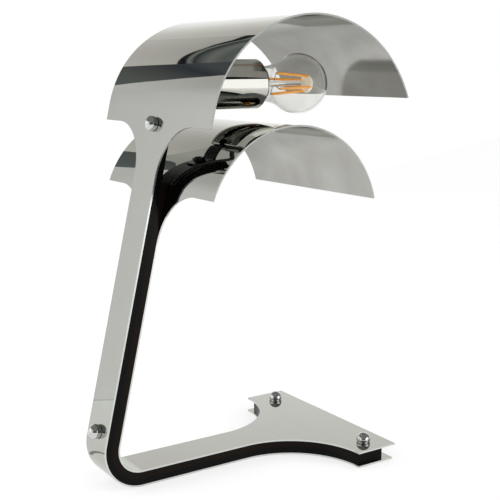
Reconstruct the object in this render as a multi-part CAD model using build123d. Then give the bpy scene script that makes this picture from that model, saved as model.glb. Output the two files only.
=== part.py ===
"""Desk lamp of two chromed steel strips with a black core between them.

Each strip is one sheet: it runs along the table, bends up at the heel, leans forward as the leg and
spreads into a wide head that is rolled into a half-cylinder shade. Frame: millimetres, +Z up, +X to the
front of the lamp, origin under the middle of its footprint.
"""
import os
from math import cos, radians, sin, sqrt

from build123d import *

# Strips and core
sheet = 1.2               # thickness of both chromed strips
layer = 4.7               # thickness of each of the two black core layers
strip_width = 30.0        # width of the leg and of the narrow part of the base
head_width = 149.0        # width of the T heads, and so length of both shades
lean = 12.9               # forward lean of the leg, degrees from upright
heel_radius = 17.0        # inside bend of the front strip at the heel
base_reach = 216.5        # from the foot of the leg's rear face to the tip of the top strip
tip_setback = 2.5         # the bottom strip stops this much short of the top one
base_head = 35.0          # straight side of the T head on the base
core_tip_setback = 3.5    # the core stops this much short of the tip of the top strip
core_side_setback = 11.0  # and this much inside each side of the T head on the base
core_above_bend = 14.4    # the front layer ends this much above where the lower shade starts to curve

# Shades, measured on the outer face of each strip
upper_head = 247.4        # lower edge of the upper T head, up the leg; the top bolt is level with it
upper_flat = 12.7         # the upper shade starts to curve this much above that edge
upper_radius_rear = 76.2
upper_angle_rear = 42.8   # degrees of the rear radius before the crown radius takes over
upper_radius_crown = 87.3
upper_angle_crown = 103.5
lower_head = 203.3        # lower edge of the lower T head, up the leg
lower_early = 8.7         # the lower shade starts to curve this much below that edge
lower_radius = 70.4
lower_angle = 153.2
leg_flare = 36.0          # hollow quarter circle between the leg and its T heads

# Bolts
stud_diameter = 5.0
hole_clearance = 0.25     # radial, in the strips, core and bracket
thread_clearance = 0.05   # radial, between a plain shank and its nut
washer_inset = 0.8        # a washer stays this much inside its cap nut all round
washer_thickness = 0.8
cap_wall = 2.75           # round the blind thread of a cap nut
cap_collar = 1.2          # straight part of a cap nut under its dome
cap_dome = 5.0
cap_bore = 4.4            # depth of the blind thread in a cap nut
heel_bolt_rise = 6.4      # heel bolt above the end of the heel bend
bolt_from_tip = 17.5      # base bolts, from the tip of the top strip
bolt_from_side = 16.4     # base bolts, from the side of the T head
countersink = 2.1         # a base screw's head stands out this much round its shank
lock_nut_wall = 1.5
lock_nut_thickness = 4.0
stud_spare = 1.0          # thread that shows beyond the lock nut

# Feet
foot_diameter = 10.0
foot_thickness = 1.2
front_foot_inside = 18.6  # from the base bolts towards the middle
front_foot_from_tip = 17.0
rear_foot_from_edge = 7.0
rear_foot_from_heel = 12.0

# Lampholder, turned about a level axis above the leg's top bolt
holder_rise = 26.4        # axis above the top bolt
holder_ahead = 29.4       # back of the cup ahead of the top bolt
cup_lip = 1.5             # the cup's mouth stands out this much over the sleeve
cup_wall = 1.0
cup_corner = 4.0          # rounding round the back of the cup
bracket_thickness = 2.0
bracket_margin = 2.0      # each side of the nipple
bracket_tail = 8.5        # flange below the top bolt
bracket_rise = 8.0        # flange above the top bolt
bracket_step_drop = 13.4  # the step meets the upright tab this far below the axis
bracket_bend = 3.0
nipple_diameter = 10.0
nipple_wall = 1.2
nipple_spare = 1.0        # thread that shows at each end
nipple_nut_wall = 2.0
nipple_nut_thickness = 3.5
fit_clearance = 0.35      # radial, between the cup and what it holds
base_shell_length = 18.0
base_shell_floor = 3.0
base_shell_wall = 2.5
insert_thickness = 9.0
sleeve_length = 24.0
sleeve_wall = 2.55
shell_wall = 0.4
shell_setback = 1.0       # the thread shell stops short of the sleeve's mouth
contact_height = 3.6
contact_thickness = 0.5
contact_width = 6.0
contact_foot = 9.0        # fixed end of the contact spring, below the axis
contact_knee = 5.0
contact_crest = 3.5
terminal_spread = 7.0
terminal_head = 5.0
terminal_head_height = 2.5
terminal_shank = 3.0
terminal_depth = 6.0

# Bulb with a 27 mm screw cap and a 45 mm globe
bulb_length = 82.5
globe_diameter = 45.0
glass_wall = 0.8
neck_clearance = 0.1      # radial, between the glass and the screw cap
neck_straight = 1.1       # ahead of the screw cap, before the neck curves out into the globe
screw_diameter = 26.2
screw_clearance = 0.3     # radial, between the cap and the thread shell
screw_wall = 0.3
screw_length = 22.0
glass_in_cap = 3.0
insulator_length = 3.2
insulator_end_diameter = 11.0
tip_diameter = 9.0
tip_height = 1.3
bulb_clearance = 0.3      # between the bulb's tip and the contact spring
filament_count = 4
filament_diameter = 1.8
filament_turn = 25.0      # degrees from level to the first filament
filament_rear = 21.4      # rear ends, behind the middle of the globe
filament_front = 9.2      # front ends, ahead of the middle of the globe
filament_rear_radius = 8.4
filament_front_radius = 6.0
wire_diameter = 0.6
wire_gap = 0.15
stem_diameter = 4.4
stem_front = 11.0         # ahead of the middle of the globe
stem_flare_length = 3.0

# Lead inside the core, and the bushing where the mains cord would enter
lead_diameter = 3.6
lead_from_edge = 5.6      # beside the bolts, near the edge away from the inlet
groove_clearance = 0.3
lead_inlet_ahead = 28.0   # inlet ahead of the heel bend
lead_inlet_bend = 10.0
lead_rise = 9.9           # straight run above the rear layer of the core
lead_rise_bend = 12.0
lead_turn_bend = 8.0
lead_turn_back = 14.0     # the lead meets the holder's axis this far behind the cup
lead_end = 14.0           # inside the cup
lead_wire_diameter = 1.2
lead_wire_spread = 0.8    # each side of the lead's middle
lead_wire_bend = 1.5
lead_wire_gap = 0.1       # to the terminal screw's head
bushing_edge = 0.1        # the bushing's flange stays this much inside the core's thickness
bushing_lip = 0.6
bushing_depth = 4.0
bushing_flange_thickness = 1.2

# Derived sizes
core = 2*layer
stack = 2*sheet + core
base_bottom = foot_thickness
base_top = base_bottom + stack
half_strip = strip_width/2
half_head = head_width/2
base_corner = base_reach - base_head
bend_radius = heel_radius + stack
bend_x = (bend_radius + heel_radius*sin(radians(lean)))/cos(radians(lean))
bend_z = base_top + heel_radius
heel_bolt = bend_x*sin(radians(lean)) + heel_radius*cos(radians(lean)) + heel_bolt_rise
top_bolt = upper_head
front_core_top = lower_head - lower_early + core_above_bend
rear_core_top = upper_head + upper_flat
hole_radius = stud_diameter/2 + hole_clearance
base_bolt_x = base_reach - bolt_from_tip
base_bolt_y = half_head - bolt_from_side
cap_diameter = stud_diameter + 2*cap_wall
bracket_width = nipple_diameter + 2*bracket_margin
nipple_hole = nipple_diameter/2 + hole_clearance
shell_inner = screw_diameter/2 + screw_clearance
sleeve_inner = shell_inner + shell_wall + thread_clearance
inside_cup = sleeve_inner + sleeve_wall
cup_radius = inside_cup + fit_clearance + cup_wall
neck_radius = screw_diameter/2 - screw_wall - neck_clearance
lead_inlet = bend_x + lead_inlet_ahead
lead_side = lead_from_edge - half_strip
lead_depth = sheet + layer
bushing_flange = core - 2*bushing_edge
bushing_diameter = bushing_flange - 2*bushing_lip
beyond = 4*stack          # cutting tools run past the work by this much


def on_leg(along, ahead):
    """Point (x, z): along the leg from the top of the base, ahead of the leg's rear face."""
    tilt = radians(lean)
    return (ahead*cos(tilt) + along*sin(tilt), base_top + along*cos(tilt) - ahead*sin(tilt))


# Stations along the lampholder's axis, which is level and points to the front
axis_height = on_leg(top_bolt, 0)[1] + holder_rise
cup_rear = on_leg(top_bolt, 0)[0] + holder_ahead
cup_floor = cup_rear + cup_wall
insert_rear = cup_floor + base_shell_length
insert_front = insert_rear + insert_thickness
cup_mouth = insert_front + sleeve_length + cup_lip
tip_rear = insert_front + contact_height + bulb_clearance
screw_rear = tip_rear + tip_height + insulator_length
screw_front = screw_rear + screw_length
globe_middle = tip_rear + bulb_length - globe_diameter/2


def leg_plane(along, ahead):
    """Plane across the leg's thickness, whose normal points forward out of the leg."""
    x, z = on_leg(along, ahead)
    tilt = radians(lean)
    return Plane(origin=(x, 0, z), x_dir=(0, 1, 0), z_dir=(cos(tilt), 0, -sin(tilt)))


def strip_path(ahead, front_x, leg_top, rolls, outer):
    """Edges of one face of a strip in side view, from its front end, round the heel, up and over."""
    level = base_bottom + ahead
    radius = bend_radius - ahead
    edges = [Line((front_x, level), (bend_x, level))]
    edges.append(CenterArc((bend_x, bend_z), radius, 270, -(90 + lean)))
    edges.append(Line(edges[-1] @ 1, on_leg(leg_top, ahead)))
    angle = 180 - lean
    centre_x, centre_z = on_leg(leg_top, outer)
    last_radius = 0.0
    for roll_radius, roll_angle in rolls:
        step = last_radius - roll_radius
        centre_x += step*cos(radians(angle))
        centre_z += step*sin(radians(angle))
        edges.append(CenterArc((centre_x, centre_z), roll_radius - (ahead - outer), angle, -roll_angle))
        angle -= roll_angle
        last_radius = roll_radius
    return edges


def strip_band(rear, front, front_x, leg_top, rolls=()):
    """Side view of a strip between two distances ahead of the leg's rear face."""
    outside = strip_path(rear, front_x, leg_top, rolls, rear)
    inside = strip_path(front, front_x, leg_top, rolls, rear)
    ends = [Line(outside[0] @ 0, inside[0] @ 0), Line(outside[-1] @ 1, inside[-1] @ 1)]
    return Plane.XZ * make_face(outside + inside + ends)


def flare_waste(start, edge, radius):
    """What is cut away beside a strip up to a T head: hollow quarter circle, then a square edge."""
    corner_y = half_strip + radius
    outer_y = half_head + beyond
    hollow = CenterArc((edge - radius, corner_y), radius, 270, 90)
    outline = [
        Line((start, half_strip), hollow @ 0),
        hollow,
        Polyline(hollow @ 1, (edge, outer_y), (start, outer_y), (start, half_strip)),
    ]
    side = make_face(outline)
    return side + mirror(side, Plane.XZ)


def base_waste():
    """Waste beside the base, whose hollows run right out to the corners of its T head."""
    flat = flare_waste(-beyond, base_corner, half_head - half_strip)
    return extrude(flat, base_top + beyond)


def leg_waste(edge):
    """Waste beside the leg, below the T head whose lower edge is at this height up the leg."""
    tilt = radians(lean)
    up_leg = (sin(tilt), 0, cos(tilt))
    rear_face = Plane(origin=(0, 0, base_top), x_dir=up_leg, z_dir=(-cos(tilt), 0, sin(tilt)))
    return extrude(rear_face * flare_waste(0, edge, leg_flare), beyond, both=True)


def leg_hole(along):
    """Drill right through the leg for a stud."""
    return leg_plane(along, 0) * Cylinder(hole_radius, 2*beyond)


def screw_shape(clearance):
    """Countersunk screw standing on z = 0, head down; clearance makes it the tool for its seat."""
    shank_radius = stud_diameter/2 + clearance
    head_radius = stud_diameter/2 + countersink
    top = stack + washer_thickness + cap_bore
    neck = (shank_radius, countersink - clearance)
    outline = Polyline((0, 0), (head_radius, 0), neck, (shank_radius, top), (0, top), close=True)
    return revolve(Plane.XZ * make_face(outline), Axis.Z)


def on_base(shape, level):
    """One copy of a shape at each base bolt."""
    return [Pos(base_bolt_x, side*base_bolt_y, level) * shape for side in (-1, 1)]


def base_seats():
    """Tools for the countersunk holes of the base screws."""
    return on_base(screw_shape(hole_clearance), base_bottom)


def bar(path, diameter):
    """Round bar along a path."""
    return sweep(Plane(origin=path @ 0, z_dir=path % 0) * Circle(diameter/2), path=path)


def lead_path():
    """Middle line of the lead: in at the side, round the heel, up the core and into the holder."""
    level = base_bottom + lead_depth
    tilt = radians(lean)
    corner_x = (lead_depth + (level - base_top)*sin(tilt))/cos(tilt)
    rise_x, rise_z = on_leg(rear_core_top + lead_rise, lead_depth)
    points = [
        (lead_inlet, half_strip + bushing_flange_thickness, level),
        (lead_inlet, lead_side, level),
        (corner_x, lead_side, level),
        (rise_x, lead_side, rise_z),
        (cup_rear - lead_turn_back, 0, axis_height),
        (cup_rear + lead_end, 0, axis_height),
    ]
    radii = [lead_inlet_bend, bend_radius - lead_depth, lead_rise_bend, lead_turn_bend]
    return FilletPolyline(*points, radius=radii)


def lead_groove():
    """Channel for the lead in the core, half in each layer, with the bushing's seat at its inlet."""
    channel = bar(lead_path(), lead_diameter + 2*groove_clearance)
    seat = Cylinder(bushing_diameter/2, 2*bushing_depth, rotation=(90, 0, 0))
    return channel + Pos(lead_inlet, half_strip, base_bottom + lead_depth) * seat


def make_rear_sheet():
    """Bottom of the base, rear of the leg and upper shade, in one sheet."""
    rolls = [(upper_radius_rear, upper_angle_rear), (upper_radius_crown, upper_angle_crown)]
    band = strip_band(0, sheet, base_reach - tip_setback, upper_head + upper_flat, rolls)
    blank = extrude(band, half_head, both=True)
    holes = [leg_hole(heel_bolt), leg_hole(top_bolt), *base_seats()]
    return blank - base_waste() - leg_waste(upper_head) - holes


def make_front_sheet():
    """Top of the base, front of the leg and lower shade, in one sheet."""
    rolls = [(lower_radius, lower_angle)]
    band = strip_band(sheet + core, stack, base_reach, lower_head - lower_early, rolls)
    blank = extrude(band, half_head, both=True)
    holes = [leg_hole(heel_bolt), *base_seats()]
    return blank - base_waste() - leg_waste(lower_head) - holes


def make_core_layer(rear, front, top):
    """One black layer between the strips, T-shaped in the base and straight up the leg to this height."""
    band = strip_band(rear, front, base_reach - core_tip_setback, top)
    blank = extrude(band, half_head - core_side_setback, both=True)
    beside_leg = leg_waste(top + leg_flare + half_head)
    holes = [leg_hole(heel_bolt), leg_hole(top_bolt), *base_seats()]
    return blank - base_waste() - beside_leg - holes - lead_groove()


def washer_shape():
    """Washer standing on z = 0."""
    ring = Circle(cap_diameter/2 - washer_inset) - Circle(hole_radius)
    return extrude(ring, washer_thickness)


def cap_nut_shape():
    """Domed nut standing on z = 0, with a blind bore."""
    radius = cap_diameter/2
    ball = (radius**2 + cap_dome**2)/(2*cap_dome)
    top = cap_collar + cap_dome
    half_way = (radius/2, top - ball + sqrt(ball**2 - (radius/2)**2))
    outline = [
        Polyline((0, top), (0, 0), (radius, 0), (radius, cap_collar)),
        ThreePointArc((radius, cap_collar), half_way, (0, top)),
    ]
    dome = revolve(Plane.XZ * make_face(outline), Axis.Z)
    return dome - extrude(Circle(stud_diameter/2 + thread_clearance), cap_bore)


def rear_of_leg(along):
    """Placement on the leg's rear face, looking backwards out of it."""
    plane = leg_plane(along, 0)
    return Plane(origin=plane.origin, x_dir=plane.x_dir, z_dir=-plane.z_dir)


def stud_between(along, front_end):
    """Plain stud through the leg, from inside the rear cap nut to this distance ahead."""
    rear_end = washer_thickness + cap_bore
    length = rear_end + front_end
    return leg_plane(along, front_end - length/2) * Cylinder(stud_diameter/2, length)


def hex_nut_shape(shank_diameter, wall, thickness):
    """Plain hexagon nut for a shank, standing on z = 0; wall is measured to its flats."""
    hexagon = RegularPolygon(shank_diameter/2 + wall, 6, major_radius=False)
    return extrude(hexagon - Circle(shank_diameter/2 + thread_clearance), thickness)


def turned(*outline):
    """Solid turned about the lampholder's axis from (x, radius) points."""
    profile = Plane.XZ * make_face(Polyline(*outline, close=True))
    return Pos(0, 0, axis_height) * revolve(profile, Axis.X)


def tube(rear, front, inner, outer):
    """Plain tube on the lampholder's axis."""
    return turned((rear, inner), (front, inner), (front, outer), (rear, outer))


def make_feet():
    """Four thin round pads under the bottom strip."""
    pad = extrude(Circle(foot_diameter/2), foot_thickness)
    front = (base_reach - front_foot_from_tip, base_bolt_y - front_foot_inside)
    rear = (bend_x + rear_foot_from_heel, half_strip - rear_foot_from_edge)
    return [Pos(x, side*y, 0) * pad for x, y in (front, rear) for side in (-1, 1)]


def make_bracket():
    """Bent steel strip from the top bolt, forward and up to the back of the lampholder."""
    middle = sheet + layer + bracket_thickness/2
    tab_x = cup_rear - bracket_thickness/2
    points = [
        on_leg(top_bolt - bracket_tail, middle),
        on_leg(top_bolt + bracket_rise, middle),
        (tab_x, axis_height - bracket_step_drop),
        (tab_x, axis_height + bracket_width/2),
    ]
    side_view = trace(FilletPolyline(*points, radius=bracket_bend), bracket_thickness)
    blank = extrude(Plane.XZ * side_view, bracket_width/2, both=True)
    tab_rear = tab_x - bracket_thickness
    tab_front = tab_x + bracket_thickness
    top_half = Box(2*bracket_thickness, bracket_width, bracket_width/2)
    square_end = Pos(tab_x, 0, axis_height + bracket_width/4) * top_half
    corners = square_end - tube(tab_rear, tab_front, 0, bracket_width/2)
    return blank - corners - tube(tab_rear, tab_front, 0, nipple_hole) - leg_hole(top_bolt)


def make_nipple():
    """Hollow threaded tube that clamps the holder to its bracket and lets the lead in."""
    rear = cup_rear - bracket_thickness - nipple_nut_thickness - nipple_spare
    front = cup_floor + base_shell_floor + nipple_nut_thickness + nipple_spare
    return tube(rear, front, nipple_diameter/2 - nipple_wall, nipple_diameter/2)


def make_nipple_nuts():
    """Thin hexagon nuts behind the bracket and inside the rear shell."""
    nut = hex_nut_shape(nipple_diameter, nipple_nut_wall, nipple_nut_thickness)
    stations = (cup_rear - bracket_thickness - nipple_nut_thickness, cup_floor + base_shell_floor)
    return [Plane(origin=(x, 0, axis_height), x_dir=(0, 1, 0), z_dir=(1, 0, 0)) * nut for x in stations]


def make_cup():
    """Drawn chromed cup round the lampholder, open to the front, with a rounded back."""
    outside = tube(cup_rear, cup_mouth, nipple_hole, cup_radius)
    inside = tube(cup_floor, cup_mouth, nipple_hole, cup_radius - cup_wall)
    rounded = fillet(rear_rim(outside), cup_corner)
    return rounded - fillet(rear_rim(inside), cup_corner - cup_wall)


def rear_rim(solid):
    """Outer edge at the back of a turned tube."""
    return solid.edges().filter_by(GeomType.CIRCLE).group_by(Axis.X)[0].sort_by(SortBy.RADIUS)[-1]


def make_base_shell():
    """Moulded rear shell of the lampholder, clamped on the nipple."""
    floor = cup_floor + base_shell_floor
    inner = inside_cup - base_shell_wall
    return turned(
        (cup_floor, nipple_hole),
        (cup_floor, inside_cup - cup_corner),
        (cup_floor + cup_corner, inside_cup),
        (insert_rear, inside_cup),
        (insert_rear, inner),
        (floor + cup_corner/2, inner),
        (floor, inner - cup_corner/2),
        (floor, nipple_hole),
    )


def at_terminals(shape):
    """One copy of a shape at each terminal screw in the back of the insert."""
    return [Pos(insert_rear, side*terminal_spread, axis_height) * shape for side in (-1, 1)]


def make_insert():
    """Porcelain disc between the rear shell and the sleeve, with holes for the terminal screws."""
    hole = extrude(Plane.YZ * Circle(terminal_shank/2 + thread_clearance), terminal_depth)
    return tube(insert_rear, insert_front, 0, inside_cup) - at_terminals(hole)


def make_terminal_screws():
    """Cheese-head screws in the back of the insert."""
    head = extrude(Plane.YZ * Circle(terminal_head/2), -terminal_head_height)
    shank = extrude(Plane.YZ * Circle(terminal_shank/2), terminal_depth - fit_clearance)
    return at_terminals(head + shank)


def make_contact():
    """Leaf spring that meets the tip of the bulb."""
    foot_x = insert_front + contact_thickness/2
    crest_x = insert_front + contact_height - contact_thickness/2
    points = [
        (foot_x, axis_height - contact_foot),
        (foot_x, axis_height - contact_knee),
        (crest_x, axis_height - contact_thickness),
        (crest_x, axis_height + contact_crest),
    ]
    leaf = trace(FilletPolyline(*points, radius=contact_thickness), contact_thickness)
    return extrude(Plane.XZ * leaf, contact_width/2, both=True)


def make_bulb_cap():
    """Thin metal screw cap, drawn without its thread."""
    outer = screw_diameter/2
    inner = outer - screw_wall
    end = insulator_end_diameter/2 + insulator_length
    shoulder = screw_rear + outer - end
    return turned(
        (screw_rear, end),
        (shoulder, outer),
        (screw_front, outer),
        (screw_front, inner),
        (shoulder + screw_wall, inner),
        (screw_rear + screw_wall, end),
    )


def make_bulb_insulator():
    """Dark glass cone between the screw cap and the tip."""
    small = insulator_end_diameter/2
    rear = screw_rear - insulator_length
    return turned((rear, 0), (rear, small), (screw_rear, small + insulator_length), (screw_rear, 0))


def make_bulb_tip():
    """Rounded centre contact of the bulb."""
    front = tip_rear + tip_height
    radius = tip_diameter/2
    return turned((tip_rear, 0), (tip_rear, radius/2), (front, radius), (front, 0))


def globe_outline(inset):
    """Globe and neck in side view, this far inside the outer face: edges from the neck to the front."""
    ball = globe_diameter/2
    neck = neck_radius - inset
    start_x = screw_front + neck_straight
    reach = globe_middle - start_x
    hollow_radius = (reach**2 + neck_radius**2 - ball**2)/(2*(ball - neck_radius))
    share = (ball - inset)/(ball + hollow_radius)
    meet = (globe_middle - reach*share, (neck_radius + hollow_radius)*share)
    hollow = TangentArc((start_x, neck), meet, tangent=(1, 0))
    return [
        Line((screw_front - glass_in_cap, neck), (start_x, neck)),
        hollow,
        TangentArc(meet, (globe_middle + ball - inset, 0), tangent=hollow % 1),
    ]


def make_globe():
    """Clear glass globe with its neck, open at the back."""
    outside = globe_outline(0)
    inside = globe_outline(glass_wall)
    ends = [Line(outside[0] @ 0, inside[0] @ 0), Line(outside[-1] @ 1, inside[-1] @ 1)]
    profile = Plane.XZ * make_face(outside + inside + ends)
    return Pos(0, 0, axis_height) * revolve(profile, Axis.X)


def make_stem():
    """Glass post that carries the filaments, flared where it is sealed in the neck."""
    rear = screw_front - glass_in_cap
    front = globe_middle + stem_front
    post = stem_diameter/2
    flare = neck_radius - glass_wall - wire_gap
    dome = post/2
    return turned(
        (rear, 0),
        (rear, flare),
        (rear + stem_flare_length/2, flare),
        (rear + 2*stem_flare_length, post),
        (front - dome, post),
        (front, dome),
        (front, 0),
    )


def around_axis(angle, radius):
    """Offsets (y, z) from the lampholder's axis."""
    return (radius*cos(radians(angle)), axis_height + radius*sin(radians(angle)))


def filament_angles():
    """Directions of the filaments round the axis."""
    return [filament_turn + 360/filament_count*index for index in range(filament_count)]


def make_filaments():
    """Straight filaments, closing in a little towards the front."""
    rods = []
    for angle in filament_angles():
        rear = (globe_middle - filament_rear, *around_axis(angle, filament_rear_radius))
        front = (globe_middle + filament_front, *around_axis(angle, filament_front_radius))
        rods.append(bar(Line(rear, front), filament_diameter))
    return rods


def make_wires():
    """Wires from the post to both ends of each filament."""
    slope = (filament_rear_radius - filament_front_radius)/(filament_rear + filament_front)
    stand_off = wire_diameter/2 + wire_gap + filament_diameter/2*slope
    post = stem_diameter/2 + wire_gap
    front = (globe_middle + filament_front + stand_off, filament_front_radius)
    rear = (globe_middle - filament_rear - stand_off, filament_rear_radius)
    rods = []
    for angle in filament_angles():
        for x, radius in (front, rear):
            start = (x, *around_axis(angle, post))
            end = (x, *around_axis(angle, radius + filament_diameter/4))
            rods.append(bar(Line(start, end), wire_diameter))
    return rods


def make_lead_wires():
    """The lead's two wires, from its end to the terminal screws."""
    start_x = cup_rear + lead_end
    turn_x = insert_rear - terminal_head_height/2
    end_y = terminal_spread - terminal_head/2 - lead_wire_gap
    wires = []
    for side in (-1, 1):
        near_y = side*lead_wire_spread
        turn = (turn_x, near_y, axis_height)
        points = [(start_x, near_y, axis_height), turn, (turn_x, side*end_y, axis_height)]
        wires.append(bar(FilletPolyline(*points, radius=lead_wire_bend), lead_wire_diameter))
    return wires


def make_bushing():
    """Rubber bushing in the side of the core where the mains cord enters."""
    bore = Circle(lead_diameter/2 + thread_clearance)
    flange = extrude(Circle(bushing_flange/2) - bore, bushing_flange_thickness)
    sleeve = extrude(Circle(bushing_diameter/2) - bore, -bushing_depth)
    side_face = Plane(origin=(lead_inlet, half_strip, base_bottom + lead_depth), z_dir=(0, 1, 0))
    return side_face * (flange + sleeve)


def build_parts():
    """All pieces by node name, each a list of solids, with the foot of the leg at x = 0."""
    washer = washer_shape()
    cap_nut = cap_nut_shape()
    raised_nut = Pos(0, 0, washer_thickness) * cap_nut
    bracket_face = sheet + layer + bracket_thickness
    lock_nut = hex_nut_shape(stud_diameter, lock_nut_wall, lock_nut_thickness)
    sleeve_front = insert_front + sleeve_length
    shell_front = sleeve_front - shell_setback
    return {
        "rear_sheet": [make_rear_sheet()],
        "front_sheet": [make_front_sheet()],
        "core_rear_layer": [make_core_layer(sheet, sheet + layer, rear_core_top)],
        "core_front_layer": [make_core_layer(sheet + layer, sheet + core, front_core_top)],
        "base_screws": on_base(screw_shape(0), base_bottom),
        "base_washers": on_base(washer, base_top),
        "base_cap_nuts": on_base(raised_nut, base_top),
        "heel_stud": [stud_between(heel_bolt, stack + washer_thickness + cap_bore)],
        "heel_washers": [rear_of_leg(heel_bolt) * washer, leg_plane(heel_bolt, stack) * washer],
        "heel_cap_nuts": [rear_of_leg(heel_bolt) * raised_nut, leg_plane(heel_bolt, stack) * raised_nut],
        "top_stud": [stud_between(top_bolt, bracket_face + lock_nut_thickness + stud_spare)],
        "top_washer": [rear_of_leg(top_bolt) * washer],
        "top_cap_nut": [rear_of_leg(top_bolt) * raised_nut],
        "top_lock_nut": [leg_plane(top_bolt, bracket_face) * lock_nut],
        "rubber_feet": make_feet(),
        "holder_bracket": [make_bracket()],
        "holder_nipple": [make_nipple()],
        "nipple_nuts": make_nipple_nuts(),
        "holder_cup": [make_cup()],
        "holder_rear_shell": [make_base_shell()],
        "holder_insert": [make_insert()],
        "holder_sleeve": [tube(insert_front, sleeve_front, sleeve_inner, inside_cup)],
        "thread_shell": [tube(insert_front, shell_front, shell_inner, shell_inner + shell_wall)],
        "centre_contact": [make_contact()],
        "terminal_screws": make_terminal_screws(),
        "inner_lead": [bar(lead_path(), lead_diameter)],
        "lead_wires": make_lead_wires(),
        "cord_bushing": [make_bushing()],
        "bulb_cap": [make_bulb_cap()],
        "bulb_insulator": [make_bulb_insulator()],
        "bulb_tip": [make_bulb_tip()],
        "bulb_globe": [make_globe()],
        "bulb_stem": [make_stem()],
        "bulb_filaments": make_filaments(),
        "bulb_wires": make_wires(),
    }


def main():
    """Centre the lamp over its footprint and write one file for each node."""
    parts = build_parts()
    box = Compound([solid for solids in parts.values() for solid in solids]).bounding_box()
    centre = Pos(-(box.min.X + box.max.X)/2, -(box.min.Y + box.max.Y)/2, -box.min.Z)
    os.makedirs("parts", exist_ok=True)
    for name, solids in parts.items():
        placed = [centre * solid for solid in solids]
        export_step(placed[0] if len(placed) == 1 else Compound(placed), f"parts/{name}.step")
    print("overall size", [round(value, 2) for value in box.size])
    print("foot of the leg at x", round(centre.position.X, 3))
    print("lampholder axis at z", round(axis_height, 3))


main()
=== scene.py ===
import math

import bmesh
import bpy
from mathutils import Matrix, Vector


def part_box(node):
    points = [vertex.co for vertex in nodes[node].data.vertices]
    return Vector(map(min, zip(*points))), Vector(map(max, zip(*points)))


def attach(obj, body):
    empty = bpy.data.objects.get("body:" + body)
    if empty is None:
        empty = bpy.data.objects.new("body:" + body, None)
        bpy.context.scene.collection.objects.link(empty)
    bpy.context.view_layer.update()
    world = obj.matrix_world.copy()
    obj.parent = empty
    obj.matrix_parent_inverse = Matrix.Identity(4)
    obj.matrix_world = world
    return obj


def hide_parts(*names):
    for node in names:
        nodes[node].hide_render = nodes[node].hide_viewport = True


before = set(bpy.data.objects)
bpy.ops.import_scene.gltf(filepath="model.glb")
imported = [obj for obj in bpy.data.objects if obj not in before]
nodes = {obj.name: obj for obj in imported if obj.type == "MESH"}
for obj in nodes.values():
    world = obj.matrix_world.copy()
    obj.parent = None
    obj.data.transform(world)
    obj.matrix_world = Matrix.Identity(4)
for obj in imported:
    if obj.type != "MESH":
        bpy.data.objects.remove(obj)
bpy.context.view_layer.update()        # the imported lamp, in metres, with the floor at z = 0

mm = 0.001
white = (1.0, 1.0, 1.0, 1.0)
noiseRange = (0.3, 0.7)      # nearly all of a noise's values lie between these
print("frame loaded:", len(nodes), "nodes")


def hexColour(text):
    parts = [int(text[i:i + 2], 16)/255 for i in (1, 3, 5)]
    linear = [p/12.92 if p <= 0.04045 else ((p + 0.055)/1.055)**2.4 for p in parts]
    return (*linear, 1.0)


def addNode(tree, kind, settings=None, inputs=None, stops=()):
    node = tree.nodes.new(kind)
    for key, value in (settings or {}).items():
        setattr(node, key, value)
    for key, value in (inputs or {}).items():
        if isinstance(value, bpy.types.NodeSocket):
            tree.links.new(value, node.inputs[key])
        else:
            node.inputs[key].default_value = value
    for index, (place, tone) in enumerate(stops):      # a ramp starts with two stops of its own
        stop = node.color_ramp.elements[index] if index < 2 else node.color_ramp.elements.new(place)
        stop.position = place
        stop.color = hexColour(tone)
    return node


def perMm(size):
    return 1000.0/size       # texture scale that gives cells of this many millimetres


def newMaterial(name, values):
    material = bpy.data.materials.new(name)
    material.use_nodes = True
    tree = material.node_tree
    shader = tree.nodes["Principled BSDF"]
    for key, value in values.items():
        shader.inputs[key].default_value = value
    return material, tree, shader


# What most finishes share: colour that drifts between two tones, roughness that drifts with it,
# and a fine relief. Sizes are real millimetres on the piece.
def blotchyFinish(name, look, values):
    material, tree, shader = newMaterial(name, values)
    place = addNode(tree, "ShaderNodeTexCoord").outputs["Object"]
    blotch = addNode(tree, "ShaderNodeTexNoise", None,
                     {"Vector": place, "Scale": perMm(look["blotchSize"]), "Detail": 4.0, "Roughness": 0.6})
    tone = addNode(tree, "ShaderNodeMix", {"data_type": "RGBA"},
                   {"Factor": blotch.outputs["Fac"], "A": hexColour(look["tone"]),
                    "B": hexColour(look["toneTwo"])})
    rough = addNode(tree, "ShaderNodeMapRange", None,
                    {"Value": blotch.outputs["Fac"], "From Min": noiseRange[0], "From Max": noiseRange[1],
                     "To Min": look["roughness"][0], "To Max": look["roughness"][1]})
    grain = addNode(tree, "ShaderNodeTexNoise", None,
                    {"Vector": place, "Scale": perMm(look["grainSize"]), "Detail": 3.0, "Roughness": 0.55})
    relief = addNode(tree, "ShaderNodeBump", None,
                     {"Strength": 1.0, "Distance": look["grainDepth"]*mm, "Height": grain.outputs["Fac"]})
    tree.links.new(tone.outputs["Result"], shader.inputs["Base Color"])
    tree.links.new(rough.outputs["Result"], shader.inputs["Roughness"])
    tree.links.new(relief.outputs["Normal"], shader.inputs["Normal"])
    return material


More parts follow.
